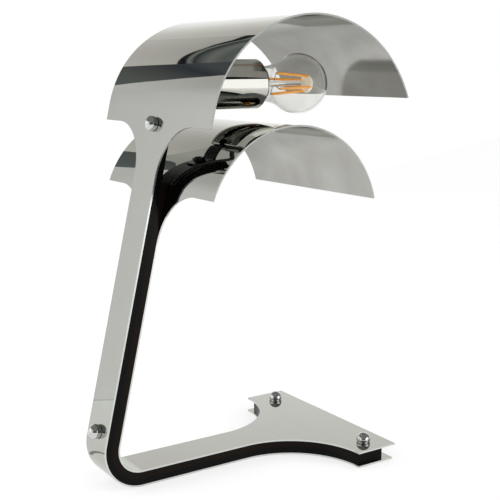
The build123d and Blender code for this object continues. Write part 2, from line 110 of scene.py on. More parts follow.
# Chromium plate on rolled steel sheet, polished outside, cloudy inside the shades and broken at the cut edges:
# a cold grey mirror with a slow ripple, mottled soft reflections under each shade in a darker tone that is
# painted
# shade, and a painted highlight: a lighter tone on the cut edges of the base and leg.
def chromeSheet(name, look):
    material, tree, shader = newMaterial(name, {
        "Metallic": 1.0, "Specular Tint": hexColour(look["grazingTone"])})
    spot = addNode(tree, "ShaderNodeNewGeometry")
    place = spot.outputs["Position"]

    # where on the sheet: inside a shade, above the shade's middle, on a cut edge
    fromMiddle = addNode(tree, "ShaderNodeVectorMath", {"operation": "SUBTRACT"},
                         {0: place, 1: [v*mm for v in look["shadeMiddle"]]})
    across = addNode(tree, "ShaderNodeVectorMath", {"operation": "MULTIPLY"},
                     {0: fromMiddle.outputs["Vector"], 1: (1.0, 0.0, 1.0)})
    outward = addNode(tree, "ShaderNodeVectorMath", {"operation": "DOT_PRODUCT"},
                      {0: across.outputs["Vector"], 1: spot.outputs["Normal"]})
    inside = addNode(tree, "ShaderNodeMath", {"operation": "LESS_THAN"},
                     {0: outward.outputs["Value"], 1: look["insideUnder"]*mm})
    height = addNode(tree, "ShaderNodeSeparateXYZ", None, {"Vector": fromMiddle.outputs["Vector"]})
    above = addNode(tree, "ShaderNodeMath", {"operation": "GREATER_THAN"},
                    {0: height.outputs["Z"], 1: look["cloudyFrom"]*mm})
    cloudyAndShaded = addNode(tree, "ShaderNodeMath", {"operation": "MULTIPLY"},
                     {0: inside.outputs["Value"], 1: above.outputs["Value"]})
    normalParts = addNode(tree, "ShaderNodeSeparateXYZ", None, {"Vector": spot.outputs["Normal"]})
    sideways = addNode(tree, "ShaderNodeMath", {"operation": "ABSOLUTE"}, {0: normalParts.outputs["Y"]})
    cutEdge = addNode(tree, "ShaderNodeMath", {"operation": "GREATER_THAN"},
                      {0: sideways.outputs["Value"], 1: look["edgeTurn"]})

    # colour
    haze = addNode(tree, "ShaderNodeTexNoise", None,
                   {"Vector": place, "Scale": perMm(look["hazeSize"]), "Detail": 5.0, "Roughness": 0.6})
    cloud = addNode(tree, "ShaderNodeTexNoise", None,
                    {"Vector": place, "Scale": perMm(look["cloudSize"]), "Detail": 3.0, "Roughness": 0.55,
                     "Distortion": 0.3})
    cloudShare = addNode(tree, "ShaderNodeMapRange", None,
                         {"Value": cloud.outputs["Fac"], "From Min": look["cloudRange"][0],
                          "From Max": look["cloudRange"][1], "To Min": 0.0, "To Max": 1.0})
    mirrorTone = addNode(tree, "ShaderNodeMix", {"data_type": "RGBA"},
                         {"Factor": haze.outputs["Fac"], "A": hexColour(look["tone"]),
                          "B": hexColour(look["toneTwo"])})
    # painted shade: inside a shade the tone drifts between the darker cloud tones
    cloudShadeTone = addNode(tree, "ShaderNodeMix", {"data_type": "RGBA"},
                        {"Factor": cloudShare.outputs["Result"], "A": hexColour(look["cloudShadeTone"]),
                         "B": hexColour(look["cloudShadeToneTwo"])})
    faceTone = addNode(tree, "ShaderNodeMix", {"data_type": "RGBA"},
                       {"Factor": cloudyAndShaded.outputs["Value"], "A": mirrorTone.outputs["Result"],
                        "B": cloudShadeTone.outputs["Result"]})
    # painted highlight: the cut edges of the base and leg are toned lighter than the faces
    edgeHighlightTone = addNode(tree, "ShaderNodeMix", {"data_type": "RGBA"},
                       {"Factor": above.outputs["Value"], "A": hexColour(look["edgeHighlightTone"]),
                        "B": hexColour(look["rimTone"])})
    tone = addNode(tree, "ShaderNodeMix", {"data_type": "RGBA"},
                   {"Factor": cutEdge.outputs["Value"], "A": faceTone.outputs["Result"],
                    "B": edgeHighlightTone.outputs["Result"]})

    # gloss and relief
    mirrorRough = addNode(tree, "ShaderNodeMapRange", None,
                          {"Value": haze.outputs["Fac"], "From Min": noiseRange[0], "From Max": noiseRange[1],
                           "To Min": look["mirrorRoughness"][0], "To Max": look["mirrorRoughness"][1]})
    cloudRough = addNode(tree, "ShaderNodeMapRange", None,
                         {"Value": cloud.outputs["Fac"], "From Min": noiseRange[0], "From Max": noiseRange[1],
                          "To Min": look["cloudRoughness"][0], "To Max": look["cloudRoughness"][1]})
    faceRough = addNode(tree, "ShaderNodeMix", {"data_type": "FLOAT"},
                        {"Factor": cloudyAndShaded.outputs["Value"], "A": mirrorRough.outputs["Result"],
                         "B": cloudRough.outputs["Result"]})
    edgeRough = addNode(tree, "ShaderNodeMapRange", None,
                        {"Value": above.outputs["Value"],
                         "To Min": look["edgeRoughness"][0], "To Max": look["edgeRoughness"][1]})
    rough = addNode(tree, "ShaderNodeMix", {"data_type": "FLOAT"},
                    {"Factor": cutEdge.outputs["Value"], "A": faceRough.outputs["Result"],
                     "B": edgeRough.outputs["Result"]})
    ripple = addNode(tree, "ShaderNodeTexNoise", None,
                     {"Vector": place, "Scale": perMm(look["rippleSize"]), "Detail": 1.0, "Roughness": 0.4})
    relief = addNode(tree, "ShaderNodeBump", None,
                     {"Strength": 1.0, "Distance": look["rippleDepth"]*mm, "Height": ripple.outputs["Fac"]})
    tree.links.new(tone.outputs["Result"], shader.inputs["Base Color"])
    tree.links.new(rough.outputs["Result"], shader.inputs["Roughness"])
    tree.links.new(relief.outputs["Normal"], shader.inputs["Normal"])
    return material


# The first edge roughness is for the base and leg, whose cut edges get the painted highlight edgeHighlightTone,
# the second for the shade's rim, which has rimTone. A face counts as inside a shade where it looks back past
# insideUnder, in millimetres; there the cloud tones, darker than the mirror tones, are painted shade.
chromeLook = {"tone": "#B7B8B3", "toneTwo": "#B0B1AC", "grazingTone": "#F2F3F0", "hazeSize": 22.0,
              "mirrorRoughness": (0.015, 0.03), "insideUnder": -20.0,
              "cloudShadeTone": "#AEAFAA", "cloudShadeToneTwo": "#A09E9A", "cloudSize": 38.0, "cloudRange": (0.32, 0.68),
              "cloudRoughness": (0.07, 0.1),
              "edgeHighlightTone": "#CDCFCB", "rimTone": "#B6B8B4", "edgeRoughness": (0.26, 0.6), "edgeTurn": 0.08,
              "rippleSize": 70.0, "rippleDepth": 0.05}
upperChrome = chromeSheet("polishedChromeUpperSheet", {
    **chromeLook, "shadeMiddle": (25.5, 0.0, 245.0), "cloudyFrom": 0.0})
lowerChrome = chromeSheet("polishedChromeLowerSheet", {
    **chromeLook, "shadeMiddle": (12.4, 0.0, 184.6), "cloudyFrom": 8.0})

# Chromed turned steel: small, bright and sharp, it gathers the whole room in a few pixels.
nutChrome = blotchyFinish("polishedChromeNut", {
    "tone": "#CDCECC", "toneTwo": "#C2C3C1", "blotchSize": 3.0, "roughness": (0.02, 0.04),
    "grainSize": 0.5, "grainDepth": 0.0004}, {"Metallic": 1.0})
# Chromed drawn brass: a deep mirror on the cup, a little warmer than the sheets.
cupChrome = blotchyFinish("polishedChromeCup", {
    "tone": "#B9B8B2", "toneTwo": "#B0AFAA", "blotchSize": 14.0, "roughness": (0.02, 0.035),
    "grainSize": 6.0, "grainDepth": 0.001}, {"Metallic": 1.0})
# Black ABS sheet, sawn and polished on its edges: nearly black, the front layer with a faint brown cast.
coreLook = {"tone": "#050505", "toneTwo": "#0A0909", "blotchSize": 9.0, "roughness": (0.2, 0.3),
            "grainSize": 0.8, "grainDepth": 0.004}
coreShine = {"IOR": 1.53, "Specular IOR Level": 0.07}
rearBlack = blotchyFinish("polishedBlackAbs", coreLook, coreShine)
frontBlack = blotchyFinish("polishedBrownBlackAbs", {
    **coreLook, "tone": "#0B0806", "toneTwo": "#130D09"}, coreShine)
# Zinc plated steel: grey, dull and a little patchy from the bath.
zincSteel = blotchyFinish("zincPlatedSteel", {
    "tone": "#A3A5A3", "toneTwo": "#8E918F", "blotchSize": 5.0, "roughness": (0.26, 0.4),
    "grainSize": 0.6, "grainDepth": 0.006}, {"Metallic": 1.0})
# The same zinc under a black passivation: dark, so the holder's bracket hardly shows in the mirrors round it.
blackZinc = blotchyFinish("blackPassivatedZinc", {
    "tone": "#26262A", "toneTwo": "#1B1B1E", "blotchSize": 5.0, "roughness": (0.24, 0.36),
    "grainSize": 0.6, "grainDepth": 0.006}, {"Metallic": 1.0})
# Moulded nitrile rubber: dull black with a faint grey bloom.
feetRubber = blotchyFinish("mouldedBlackRubber", {
    "tone": "#161616", "toneTwo": "#232322", "blotchSize": 2.5, "roughness": (0.6, 0.8),
    "grainSize": 0.5, "grainDepth": 0.02}, {"IOR": 1.52})
# Pressed phenolic resin: dark brown-black with a soft moulded gloss.
phenolic = blotchyFinish("mouldedPhenolic", {
    "tone": "#17110E", "toneTwo": "#231A15", "blotchSize": 4.0, "roughness": (0.25, 0.36),
    "grainSize": 0.7, "grainDepth": 0.006}, {"IOR": 1.6})
# Glazed porcelain: warm white with a wet shine over a slightly uneven body.
porcelain = blotchyFinish("glazedPorcelain", {
    "tone": "#E6E1D6", "toneTwo": "#DAD4C7", "blotchSize": 6.0, "roughness": (0.1, 0.18),
    "grainSize": 2.0, "grainDepth": 0.01}, {"IOR": 1.5, "Coat Weight": 0.4, "Coat Roughness": 0.06})
# Stamped brass: yellow, lightly tarnished where fingers have been.
brass = blotchyFinish("stampedBrass", {
    "tone": "#C29A52", "toneTwo": "#A07B3C", "blotchSize": 5.0, "roughness": (0.2, 0.34),
    "grainSize": 0.6, "grainDepth": 0.004}, {"Metallic": 1.0})
# Extruded PVC: black, with an even satin skin.
sheathPvc = blotchyFinish("extrudedPvcSheath", {
    "tone": "#1A1A1A", "toneTwo": "#262625", "blotchSize": 3.0, "roughness": (0.42, 0.55),
    "grainSize": 0.4, "grainDepth": 0.008}, {"IOR": 1.54})
# Nickel plated brass: pale and slightly yellow, with rolled threads that catch lines of light.
capNickel = blotchyFinish("nickelPlatedCap", {
    "tone": "#C4C1B8", "toneTwo": "#AEABA2", "blotchSize": 4.0, "roughness": (0.14, 0.24),
    "grainSize": 0.7, "grainDepth": 0.003}, {"Metallic": 1.0})
# Fused black glass: almost black and very shiny.
blackGlass = blotchyFinish("fusedBlackGlass", {
    "tone": "#0B0B10", "toneTwo": "#15131C", "blotchSize": 2.0, "roughness": (0.05, 0.12),
    "grainSize": 1.0, "grainDepth": 0.01}, {"IOR": 1.55})
# Tin solder: soft grey, lumpy where it froze.
solder = blotchyFinish("frozenTinSolder", {
    "tone": "#A9A9A5", "toneTwo": "#888883", "blotchSize": 1.5, "roughness": (0.3, 0.45),
    "grainSize": 1.6, "grainDepth": 0.08}, {"Metallic": 1.0})
# Silicone with yellow phosphor, cast over the chips: amber, waxy and a little uneven. A faint painted glow
# brightens the filaments, which are not lit.
phosphor = blotchyFinish("castAmberPhosphor", {
    "tone": "#F5A238", "toneTwo": "#FFC468", "blotchSize": 1.6, "roughness": (0.35, 0.5),
    "grainSize": 0.5, "grainDepth": 0.02},
    {"IOR": 1.41, "Emission Color": hexColour("#F5A238"), "Emission Strength": 0.28})
# Steatite, pressed and fired: cream, chalky and a little shiny where the filaments are set in it,
# with a faint painted glow that brightens the disc.
steatite = blotchyFinish("pressedSteatite", {
    "tone": "#F4ECDA", "toneTwo": "#EADFC8", "blotchSize": 2.0, "roughness": (0.3, 0.42),
    "grainSize": 0.5, "grainDepth": 0.015},
    {"IOR": 1.5, "Emission Color": hexColour("#FFF0D8"), "Emission Strength": 0.36})
# Drawn nickel wire: thin bright lines.
nickelWire = blotchyFinish("drawnNickelWire", {
    "tone": "#B6B3AB", "toneTwo": "#98958E", "blotchSize": 1.0, "roughness": (0.22, 0.32),
    "grainSize": 0.3, "grainDepth": 0.002}, {"Metallic": 1.0})


# Blown soda-lime glass: clear, with slow thickness waves that bend the light near the rim.
def clearGlass(name, look):
    material, tree, shader = newMaterial(name, {
        "Transmission Weight": 1.0, "IOR": look["ior"], "Base Color": hexColour(look["tint"])})
    place = addNode(tree, "ShaderNodeTexCoord").outputs["Object"]
    wave = addNode(tree, "ShaderNodeTexNoise", None,
                   {"Vector": place, "Scale": perMm(look["waveSize"]), "Detail": 1.0, "Roughness": 0.4})
    film = addNode(tree, "ShaderNodeMapRange", None,
                   {"Value": wave.outputs["Fac"], "From Min": noiseRange[0], "From Max": noiseRange[1],
                    "To Min": look["roughness"][0], "To Max": look["roughness"][1]})
    relief = addNode(tree, "ShaderNodeBump", None,
                     {"Strength": 1.0, "Distance": look["waveDepth"]*mm, "Height": wave.outputs["Fac"]})
    tree.links.new(film.outputs["Result"], shader.inputs["Roughness"])
    tree.links.new(relief.outputs["Normal"], shader.inputs["Normal"])
    return material


globeGlass = clearGlass("blownClearGlass", {
    "ior": 1.3, "tint": "#EAEAE8", "waveSize": 12.0, "waveDepth": 0.02, "roughness": (0.0, 0.008)})
stemGlass = clearGlass("drawnStemGlass", {
    "ior": 1.5, "tint": "#F1F2F0", "waveSize": 5.0, "waveDepth": 0.03, "roughness": (0.0, 0.02)})

# PVC on the two thin wires: brown on one side of the lamp, blue on the other, with a satin skin.
wireLook = {"brown": "#5A3A24", "blue": "#2B5FA8", "skinSize": 0.8, "roughness": (0.35, 0.55)}
wirePvc, wireTree, wireShader = newMaterial("extrudedPvcWire", {"IOR": 1.54})
wirePlace = addNode(wireTree, "ShaderNodeTexCoord").outputs["Object"]
wireAxes = addNode(wireTree, "ShaderNodeSeparateXYZ", None, {"Vector": wirePlace})
wireSide = addNode(wireTree, "ShaderNodeMath", {"operation": "GREATER_THAN"},
                   {0: wireAxes.outputs["Y"], 1: 0.0})
wireTone = addNode(wireTree, "ShaderNodeMix", {"data_type": "RGBA"},
                   {"Factor": wireSide.outputs["Value"], "A": hexColour(wireLook["brown"]),
                    "B": hexColour(wireLook["blue"])})
wireSkin = addNode(wireTree, "ShaderNodeTexNoise", None,
                   {"Vector": wirePlace, "Scale": perMm(wireLook["skinSize"]), "Detail": 2.0})
wireRough = addNode(wireTree, "ShaderNodeMapRange", None,
                    {"Value": wireSkin.outputs["Fac"],
                     "To Min": wireLook["roughness"][0], "To Max": wireLook["roughness"][1]})
wireTree.links.new(wireTone.outputs["Result"], wireShader.inputs["Base Color"])
wireTree.links.new(wireRough.outputs["Result"], wireShader.inputs["Roughness"])

nodeFinish = {
    "rear_sheet": upperChrome, "front_sheet": lowerChrome,
    "core_rear_layer": rearBlack, "core_front_layer": frontBlack,
    "base_screws": zincSteel, "base_washers": nutChrome, "base_cap_nuts": nutChrome,
    "heel_stud": zincSteel, "heel_washers": nutChrome, "heel_cap_nuts": nutChrome,
    "top_stud": zincSteel, "top_washer": nutChrome, "top_cap_nut": nutChrome, "top_lock_nut": zincSteel,
    "rubber_feet": feetRubber, "cord_bushing": feetRubber,
    "holder_bracket": blackZinc, "holder_nipple": zincSteel, "nipple_nuts": zincSteel, "holder_cup": cupChrome,
    "holder_rear_shell": phenolic, "holder_insert": porcelain, "holder_sleeve": phenolic,
    "thread_shell": brass, "centre_contact": brass, "terminal_screws": brass,
    "inner_lead": sheathPvc, "lead_wires": wirePvc,
    "bulb_cap": capNickel, "bulb_insulator": blackGlass, "bulb_tip": solder, "bulb_globe": globeGlass,
    "bulb_stem": stemGlass, "bulb_filaments": phosphor, "bulb_wires": nickelWire,
}
for name, material in nodeFinish.items():
    nodes[name].data.materials.clear()
    nodes[name].data.materials.append(material)
for name in ("bulb_globe", "bulb_stem"):
    nodes[name].visible_shadow = False       # thin glass lets the light in
    nodes[name].visible_glossy = False       # and leaves no image in the cloudy metal
print("finishes on", len(nodeFinish), "nodes")


def facing(point, way):
    return Matrix.Translation(point) @ Vector(way).to_track_quat("Z", "Y").to_matrix().to_4x4()


# A piece turned in the lathe, drawn row by row as (along, radius) in millimetres, once at each place.
# A row marked "thread" dips by its share of the thread's depth, and one marked "hex" is filed to six flats.
def turnedPiece(name, body, material, rows, places, segments, thread=None, hides=()):
    sharpFrom = math.radians(35.0)
    points, faces = [], []
    for place in places:
        rings = []
        for along, radius, *marks in rows:
            ring = []
            for step in range(segments if radius else 1):
                turn = 2*math.pi*step/segments
                reach, level = radius, along
                if marks and marks[0] == "hex":
                    reach = radius/math.cos(turn % (math.pi/3) - math.pi/6)
                    level = along + marks[1]*(reach - radius)
                elif marks:
                    wave = 0.5 - 0.5*math.cos(2*math.pi*along/thread["pitch"] - turn)
                    reach = radius - marks[1]*thread["depth"]*wave
                ring.append(len(points))
                points.append(place @ Vector((reach*math.cos(turn)*mm, reach*math.sin(turn)*mm, level*mm)))
            rings.append(ring)
        if rows[0][1] and rows[-1][1]:
            rings.append(rings[0])           # a ring with a bore closes on itself
        for low, high in zip(rings, rings[1:]):
            for step in range(segments):
                after = (step + 1) % segments
                if len(low) == 1:
                    faces.append((low[0], high[step], high[after]))
                elif len(high) == 1:
                    faces.append((low[step], low[after], high[0]))
                else:
                    faces.append((low[step], low[after], high[after], high[step]))
    mesh = bpy.data.meshes.new(name)
    mesh.from_pydata(points, [], faces)
    shape = bmesh.new()
    shape.from_mesh(mesh)
    bmesh.ops.recalc_face_normals(shape, faces=shape.faces)
    shape.to_mesh(mesh)
    shape.free()
    mesh.shade_smooth()
    mesh.set_sharp_from_angle(angle=sharpFrom)
    mesh.materials.append(material)
    piece = bpy.data.objects.new(name, mesh)
    bpy.context.scene.collection.objects.link(piece)
    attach(piece, body)
    if hides:
        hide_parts(*hides)


def sizeOf(name):
    low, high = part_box(name)
    return Vector(low), Vector(high), (Vector(low) + Vector(high))/2


bothSides = (-1, 1)
up = (0, 0, 1)
alongHolder = (1, 0, 0)
lean = math.radians(12.9)
legFront = Vector((math.cos(lean), 0.0, -math.sin(lean)))       # out of the leg, to the front

# Domed nuts with a softened rim and a blind bore.
capNut = {"radius": 5.25, "collar": 1.2, "dome": 5.0, "domeSteps": 12, "bore": 2.55, "boreDepth": 4.4,
          "rim": 0.45, "rimBend": (0.15, 0.12), "segments": 48,
          "baseInset": 4.45, "heelSeat": 6.7, "topSeat": 0.4}      # where each sits on its bolt
domeRows = [(capNut["boreDepth"], 0.0), (capNut["boreDepth"], capNut["bore"]), (0.0, capNut["bore"]),
            (0.0, capNut["radius"] - capNut["rim"]),
            (capNut["rimBend"][0], capNut["radius"] - capNut["rimBend"][1]),
            (capNut["rim"], capNut["radius"]), (capNut["collar"], capNut["radius"])]
for step in range(1, capNut["domeSteps"]):
    angle = math.radians(90.0/capNut["domeSteps"]*step)
    domeRows.append((capNut["collar"] + capNut["dome"]*math.sin(angle), capNut["radius"]*math.cos(angle)))
domeRows.append((capNut["collar"] + capNut["dome"], 0.0))

low, high, middle = sizeOf("base_washers")
aside = high.y - capNut["baseInset"]*mm
turnedPiece("base_nut_domes", "lamp", nutChrome, domeRows,
            [facing((middle.x, side*aside, high.z), up) for side in bothSides],
            capNut["segments"], None, ["base_cap_nuts"])
middle = sizeOf("heel_stud")[2]
turnedPiece("heel_nut_domes", "lamp", nutChrome, domeRows,
            [facing(middle + legFront*side*capNut["heelSeat"]*mm, legFront*side) for side in bothSides],
            capNut["segments"], None, ["heel_cap_nuts"])
middle = sizeOf("top_washer")[2]
turnedPiece("top_nut_dome", "lamp", nutChrome, domeRows,
            [facing(middle - legFront*capNut["topSeat"]*mm, -legFront)],
            capNut["segments"], None, ["top_cap_nut"])


# Hexagon nuts, chamfered at both ends so that each flat ends in a curve.
def hexRows(nut):
    flat, thick, bore = nut["flat"], nut["thickness"], nut["bore"]
    slope, start, inset, flare = 0.5, 0.06, 0.12, 0.35
    return [(flare, bore), (0.0, bore + flare), (0.0, flat - inset), (start, flat, "hex", slope),
            (thick - start, flat, "hex", -slope), (thick, flat - inset), (thick, bore + flare),
            (thick - flare, bore)]


nippleNut = {"flat": 7.0, "thickness": 3.5, "bore": 5.05, "segments": 72}
low, high, middle = sizeOf("nipple_nuts")
turnedPiece("nipple_hex_nuts", "lamp", zincSteel, hexRows(nippleNut),
            [facing((x, 0.0, middle.z), alongHolder) for x in (low.x, high.x - nippleNut["thickness"]*mm)],
            nippleNut["segments"], None, ["nipple_nuts"])
topNut = {"flat": 4.0, "thickness": 4.0, "bore": 2.55, "segments": 72}
middle = sizeOf("top_lock_nut")[2]
turnedPiece("top_hex_nut", "lamp", blackZinc, hexRows(topNut),
            [facing(middle - legFront*topNut["thickness"]/2*mm, legFront)],
            topNut["segments"], None, ["top_lock_nut"])


# Rows of a cut thread between two stations, running out at both ends.
def threadRows(start, end, radius, thread):
    rowsPerTurn, fewest = 12, 4
    count = max(fewest, round((end - start)/(thread["pitch"]/rowsPerTurn)))
    rows = []
    for step in range(count + 1):
        along = start + (end - start)*step/count
        share = min(1.0, (along - start)/thread["runOut"], (end - along)/thread["runOut"])
        rows.append((along, radius, "thread", max(0.0, share)))
    return rows


# Hollow threaded nipple.
nipple = {"length": 15.0, "radius": 5.0, "endRadius": 4.5, "bore": 3.8, "flare": 0.3,
          "pitch": 1.0, "depth": 0.6, "runOut": 0.4, "segments": 48}
low, high, middle = sizeOf("holder_nipple")
mouth = nipple["bore"] + nipple["flare"]
turnedPiece("threaded_nipple", "lamp", zincSteel,
            [(nipple["flare"], nipple["bore"]), (0.0, mouth), (0.0, nipple["endRadius"])]
            + threadRows(nipple["runOut"], nipple["length"] - nipple["runOut"], nipple["radius"], nipple)
            + [(nipple["length"], nipple["endRadius"]), (nipple["length"], mouth),
               (nipple["length"] - nipple["flare"], nipple["bore"])],
            [facing((low.x, 0.0, middle.z), alongHolder)], nipple["segments"], nipple, ["holder_nipple"])

# Top stud, threaded from end to end.
stud = {"length": 18.1, "radius": 2.5, "endRadius": 2.1,
        "pitch": 0.8, "depth": 0.5, "runOut": 0.4, "segments": 32}
middle = sizeOf("top_stud")[2]
turnedPiece("threaded_top_stud", "lamp", blackZinc,
            [(0.0, 0.0), (0.0, stud["endRadius"])]
            + threadRows(stud["runOut"], stud["length"] - stud["runOut"], stud["radius"], stud)
            + [(stud["length"], stud["endRadius"]), (stud["length"], 0.0)],
            [facing(middle - legFront*stud["length"]/2*mm, legFront)], stud["segments"], stud, ["top_stud"])

# Countersunk screws under the base, each with a hexagon socket.
low, high, middle = sizeOf("base_screws")
screwTip = (high.z - low.z)/mm
baseScrew = {"inset": 4.6, "segments": 48,
             "rows": [(2.0, 0.0), (2.0, 1.5, "hex", 0.0), (0.12, 1.5, "hex", 0.0), (0.0, 1.62, "hex", 0.0),
                      (0.0, 4.4), (0.12, 4.5), (2.1, 2.5),
                      (screwTip - 0.4, 2.5), (screwTip, 2.1), (screwTip, 0.0)]}
aside = high.y - baseScrew["inset"]*mm
turnedPiece("socket_screws", "lamp", zincSteel, baseScrew["rows"],
            [facing((middle.x, side*aside, low.z), up) for side in bothSides],
            baseScrew["segments"], None, ["base_screws"])

# Rubber feet with a soft edge and a grooved sole.
foot = {"radius": 5.0, "rearAside": 8.0, "segments": 48,
        "rows": [(1.2, 0.0), (1.2, 5.0), (0.55, 5.0), (0.2, 4.88), (0.0, 4.5), (0.0, 3.7), (0.3, 3.5),
                 (0.3, 2.9), (0.0, 2.7), (0.0, 1.7), (0.3, 1.5), (0.3, 0.0)]}
low, high, middle = sizeOf("rubber_feet")
inset = foot["radius"]*mm
footPlaces = [(high.x - inset, side*(high.y - inset)) for side in bothSides]
footPlaces += [(low.x + inset, side*foot["rearAside"]*mm) for side in bothSides]
turnedPiece("soft_feet", "lamp", feetRubber, foot["rows"],
            [facing((x, y, low.z), up) for x, y in footPlaces], foot["segments"], None, ["rubber_feet"])

# Rubber bushing with a rounded lip and a flared mouth.
bushing = {"lip": 1.2, "segments": 48,
           "rows": [(-4.0, 1.85), (-4.0, 3.7), (-3.6, 4.0), (-0.2, 4.0), (0.0, 4.2), (0.0, 4.45), (0.15, 4.6),
                    (0.75, 4.6), (1.05, 4.45), (1.2, 4.1), (1.2, 2.75), (1.05, 2.4), (0.7, 2.05), (0.2, 1.85)]}
low, high, middle = sizeOf("cord_bushing")
turnedPiece("soft_bushing", "lamp", feetRubber, bushing["rows"],
            [facing((middle.x, high.y - bushing["lip"]*mm, middle.z), (0, 1, 0))],
            bushing["segments"], None, ["cord_bushing"])

# Moulded sleeve of the lampholder with a rounded mouth.
low, high, middle = sizeOf("holder_sleeve")
sleeveEnd = (high.x - low.x)/mm
sleeve = {"segments": 72,
          "rows": [(0.0, 13.85), (sleeveEnd - 1.0, 13.85), (sleeveEnd - 0.35, 14.05), (sleeveEnd, 14.6),
                   (sleeveEnd, 15.7), (sleeveEnd - 0.25, 16.2), (sleeveEnd - 0.8, 16.4), (0.0, 16.4)]}
turnedPiece("moulded_sleeve", "lamp", phenolic, sleeve["rows"],
            [facing((low.x, 0.0, middle.z), alongHolder)], sleeve["segments"], None, ["holder_sleeve"])

# Screw cap of the bulb: rolled round thread, plain collar and a turned-in rim.
low, high, middle = sizeOf("bulb_cap")
capEnd = (high.x - low.x)/mm
screwCap = {"pitch": 3.63, "depth": 0.95, "runOut": 2.0, "radius": 13.1, "threadFrom": 4.2, "threadTo": 17.6,
            "segments": 96,
            "rearRows": [(0.3, 8.5), (0.0, 8.6), (0.1, 8.8), (3.2, 11.9), (3.8, 12.3)],
            "collarRows": [(18.4, 13.1), (20.9, 13.1), (21.15, 12.95), (21.4, 13.1), (21.85, 13.1),
                           (capEnd, 12.95), (capEnd, 12.85), (21.6, 12.8), (17.4, 12.8), (16.4, 11.8),
                           (4.8, 11.8), (3.8, 11.6)]}
bulbAxis = middle.z
turnedPiece("screw_cap", "bulb", capNickel,
            screwCap["rearRows"]
            + threadRows(screwCap["threadFrom"], screwCap["threadTo"], screwCap["radius"], screwCap)
            + screwCap["collarRows"],
            [facing((low.x, 0.0, bulbAxis), alongHolder)], screwCap["segments"], screwCap, ["bulb_cap"])

# Filaments: waxy rods set in a cream front disc, with a thin metal tab at each rear end.
# Places along the bulb are counted from the middle of its globe.
filament = {"count": 4, "turn": 25.0, "rear": -21.4, "front": 9.2, "rearRadius": 8.4, "frontRadius": 6.0,
            "thickness": 2.0, "globeRadius": 22.5, "rodSegments": 20, "tabSegments": 16, "discSegments": 48,
            "roundEnd": [(0.0, 0.45), (0.2, 0.8), (0.6, 1.0)],       # along, share of the rod's radius
            "tabRows": [(-0.9, 0.0), (-0.9, 0.3), (-0.7, 0.42), (0.5, 0.42), (0.5, 0.95), (1.3, 0.95),
                        (1.5, 0.5), (1.5, 0.0)],
            "discRows": [(7.4, 0.0), (7.4, 6.3), (7.6, 6.7), (8.0, 6.9), (9.2, 6.8), (9.9, 6.3), (10.4, 5.2),
                         (10.6, 3.8), (10.6, 0.0)]}
globeMiddle = Vector((sizeOf("bulb_globe")[1].x - filament["globeRadius"]*mm, 0.0, bulbAxis))
rodPlaces = []
for step in range(filament["count"]):
    angle = math.radians(filament["turn"] + 360.0/filament["count"]*step)
    spoke = Vector((0.0, math.cos(angle), math.sin(angle)))
    rear = globeMiddle + Vector((filament["rear"]*mm, 0.0, 0.0)) + spoke*filament["rearRadius"]*mm
    front = globeMiddle + Vector((filament["front"]*mm, 0.0, 0.0)) + spoke*filament["frontRadius"]*mm
    rodPlaces.append(facing(rear, front - rear))
    rodLength = (front - rear).length/mm
rodRadius = filament["thickness"]/2
rearEnd = [(along, rodRadius*share) for along, share in filament["roundEnd"]]
frontEnd = [(rodLength - along, radius) for along, radius in reversed(rearEnd)]
turnedPiece("filament_rods", "bulb", phosphor,
            [(0.0, 0.0)] + rearEnd + frontEnd + [(rodLength, 0.0)], rodPlaces,
            filament["rodSegments"], None, ["bulb_filaments"])
turnedPiece("filament_tabs", "bulb", nickelWire, filament["tabRows"], rodPlaces,
            filament["tabSegments"])
turnedPiece("filament_disc", "bulb", steatite, filament["discRows"],
            [facing(globeMiddle, alongHolder)], filament["discSegments"])
print("turned pieces on the lamp")


# Camera at the photograph's angle: a little above the base, looking across the leg.
camera = {"place": (-0.3764, -0.6039, 0.2914), "tilt": 79.60, "turn": -33.562, "lens": 71.096, "sensor": 36.0}
lens = bpy.data.cameras.new("photoCamera")
lens.lens = camera["lens"]
lens.sensor_width = camera["sensor"]
photoCamera = bpy.data.objects.new("photoCamera", lens)
photoCamera.location = camera["place"]
photoCamera.rotation_euler = (math.radians(camera["tilt"]), 0.0, math.radians(camera["turn"]))
bpy.context.scene.collection.objects.link(photoCamera)
bpy.context.scene.camera = photoCamera


def flatCard(name, corners, material):
    mesh = bpy.data.meshes.new(name)
    mesh.from_pydata([Vector(c) for c in corners], [], [tuple(range(len(corners)))])
    card = bpy.data.objects.new(name, mesh)
    card.data.materials.append(material)
    bpy.context.scene.collection.objects.link(card)
    return card


def emptyMaterial(name):
    material = bpy.data.materials.new(name)
    material.use_nodes = True
    material.node_tree.nodes.clear()
    return material, material.node_tree


# Which rays show the background itself (eye, metal and glass), and which of them come from metal.
def shownRays(tree):
    path = addNode(tree, "ShaderNodeLightPath")
    first = addNode(tree, "ShaderNodeMath", {"operation": "MAXIMUM"},
                    {0: path.outputs["Is Camera Ray"], 1: path.outputs["Is Glossy Ray"]})
    both = addNode(tree, "ShaderNodeMath", {"operation": "MAXIMUM"},
                   {0: first.outputs["Value"], 1: path.outputs["Is Transmission Ray"]})
    return both.outputs["Value"], path.outputs["Is Glossy Ray"]


